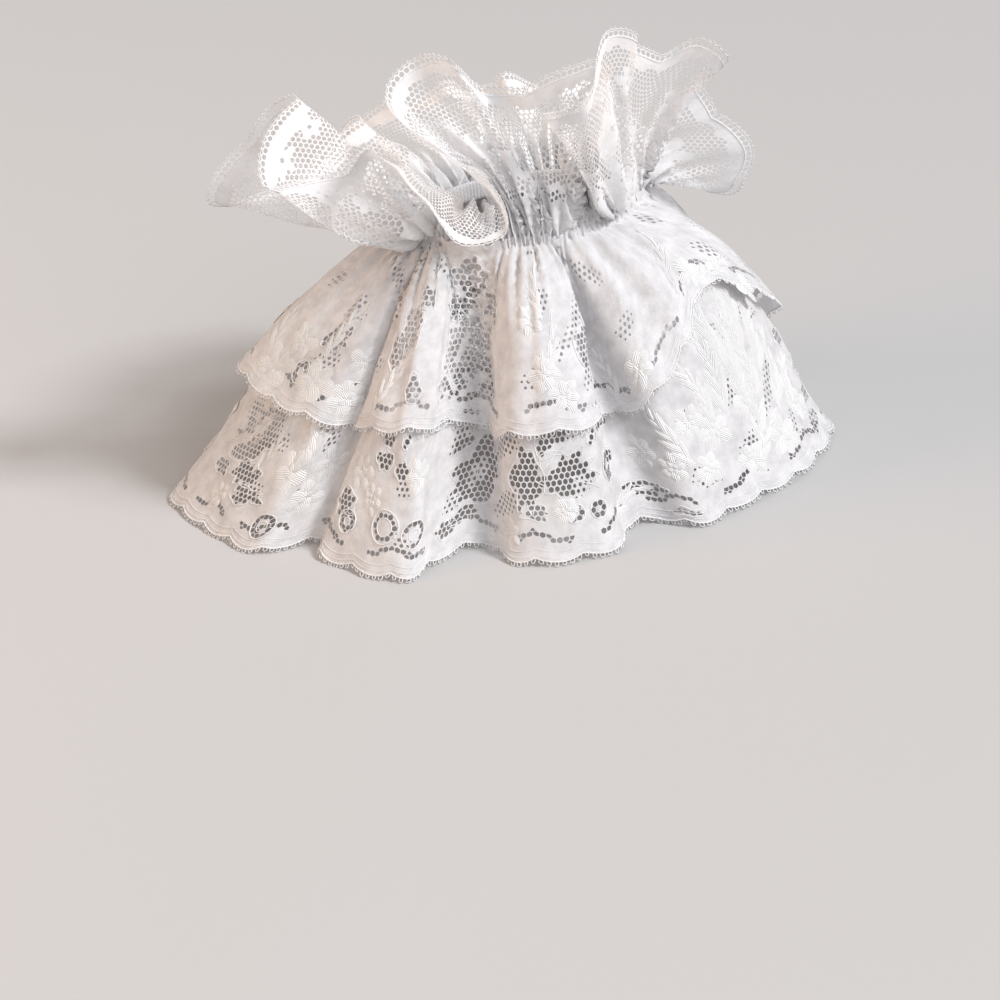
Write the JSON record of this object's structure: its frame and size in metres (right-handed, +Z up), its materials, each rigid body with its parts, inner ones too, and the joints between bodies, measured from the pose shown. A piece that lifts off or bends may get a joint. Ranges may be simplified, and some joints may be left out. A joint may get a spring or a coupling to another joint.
{
  "type": "lace wrist cuff",
  "caption": "Gathered lace wrist cuff with a ruffled heading above a hidden elastic ring and a short flounce over a long scalloped flounce below it.",
  "frame": {"origin": "middle of the cuff's footprint, on the floor that its long flounce stands on", "axes": "+Z up along the wrist's axis, towards the arm; the shown front faces -Y; +X to the right of that view"},
  "size_m": [0.1912, 0.1428, 0.1344],
  "materials": {
    "lace": "white openwork lace",
    "elastic": "white knitted elastic"
  },
  "bodies": {
    "root": {"wrist_elastic": "elastic", "heading_ruffle": "lace", "short_flounce": "lace", "long_flounce": "lace"}
  },
  "joints": []
}
